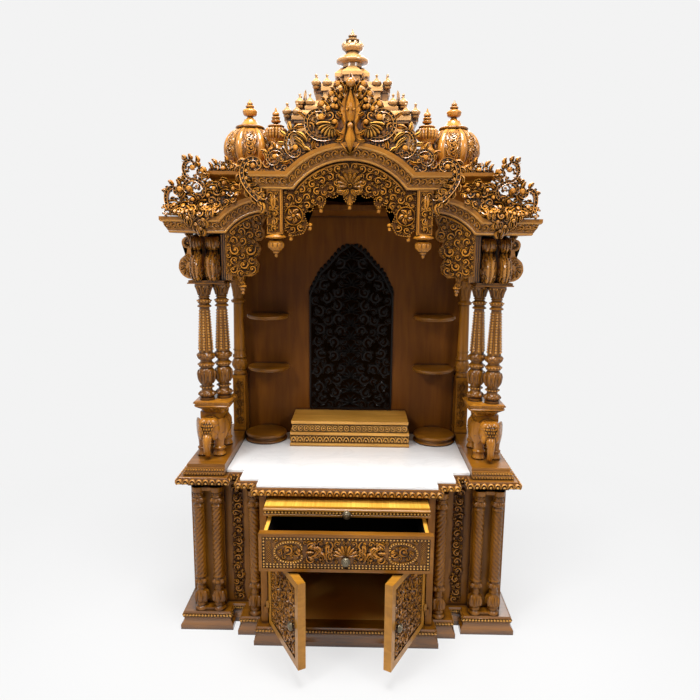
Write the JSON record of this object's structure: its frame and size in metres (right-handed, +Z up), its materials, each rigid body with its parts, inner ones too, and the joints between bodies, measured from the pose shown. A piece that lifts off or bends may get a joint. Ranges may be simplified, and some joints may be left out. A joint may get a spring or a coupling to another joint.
{
  "type": "carved wooden home shrine",
  "caption": "Free-standing carved home shrine: cabinet with doors, drawer and pull-out tray, marble top, pillared canopy and stepped roof.",
  "frame": {"origin": "middle of the base on the floor, at the plinth's flat underside", "axes": "+Z up, -Y towards the viewer who faces the doors, +X to that viewer's right"},
  "size_m": [1.426, 0.9457, 2.4406],
  "materials": {
    "teak": "polished golden brown with dark recesses",
    "dark_teak": "polished brown, darker",
    "light_wood": "satin, yellow straight grain",
    "marble": "polished white",
    "black_lacquer": "satin black",
    "knobs": "antique, dark in the grooves"
  },
  "bodies": {
    "root": {"base_plinth": "teak", "side_cabinet_left": "teak", "side_cabinet_right": "teak", "case_interior": "dark_teak", "counter_top": "teak", "marble_top": "marble", "wing_columns_left": "teak", "wing_columns_right": "teak", "pier_column_left": "teak", "pier_column_right": "teak", "side_plinth_left": "teak", "side_plinth_right": "teak", "elephant_left": "teak", "elephant_right": "teak", "twin_columns_left": "teak", "twin_columns_right": "teak", "capital_left": "teak", "capital_right": "teak", "rear_column_left": "dark_teak", "rear_column_right": "dark_teak", "back_wall": "dark_teak", "back_screen": "black_lacquer", "pedestal": "teak", "wall_shelf_lower_left": "teak", "wall_shelf_lower_right": "teak", "wall_shelf_upper_left": "teak", "wall_shelf_upper_right": "teak", "round_stand_left": "teak", "round_stand_right": "teak", "side_cornice_left": "teak", "side_cornice_right": "teak", "portico_cornice": "teak", "hanging_post_left": "teak", "hanging_post_right": "teak", "centre_valance": "teak", "side_valance_left": "teak", "side_valance_right": "teak", "attic": "dark_teak", "roof_deck": "teak", "spire": "teak", "top_finial": "teak", "side_dome_left": "teak", "side_dome_right": "teak", "ribbed_finial_left": "teak", "ribbed_finial_right": "teak", "centre_crest": "teak", "corner_crest_left": "teak", "corner_crest_right": "teak"},
    "tray": {"tray": "light_wood", "tray_knob": "knobs"},
    "drawer": {"drawer_front": "teak", "drawer_box": "light_wood", "drawer_knob": "knobs"},
    "door_left": {"door_left": "teak", "door_knob_left": "knobs"},
    "door_right": {"door_right": "teak", "door_knob_right": "knobs"}
  },
  "joints": [
    {"name": "tray_slide", "type": "slide", "parent": "root", "child": "tray", "axis": [0, -1, 0], "range_m": [-0.09, 0.22]},
    {"name": "drawer_slide", "type": "slide", "parent": "root", "child": "drawer", "axis": [0, -1, 0], "range_m": [-0.21, 0.15]},
    {"name": "door_left_hinge", "type": "hinge", "parent": "root", "child": "door_left", "pos_m": [-0.319, -0.324, 0.081], "axis": [0, 0, -1], "range_deg": [-62, 48]},
    {"name": "door_right_hinge", "type": "hinge", "parent": "root", "child": "door_right", "pos_m": [0.319, -0.324, 0.081], "axis": [0, 0, 1], "range_deg": [-62, 48]}
  ]
}
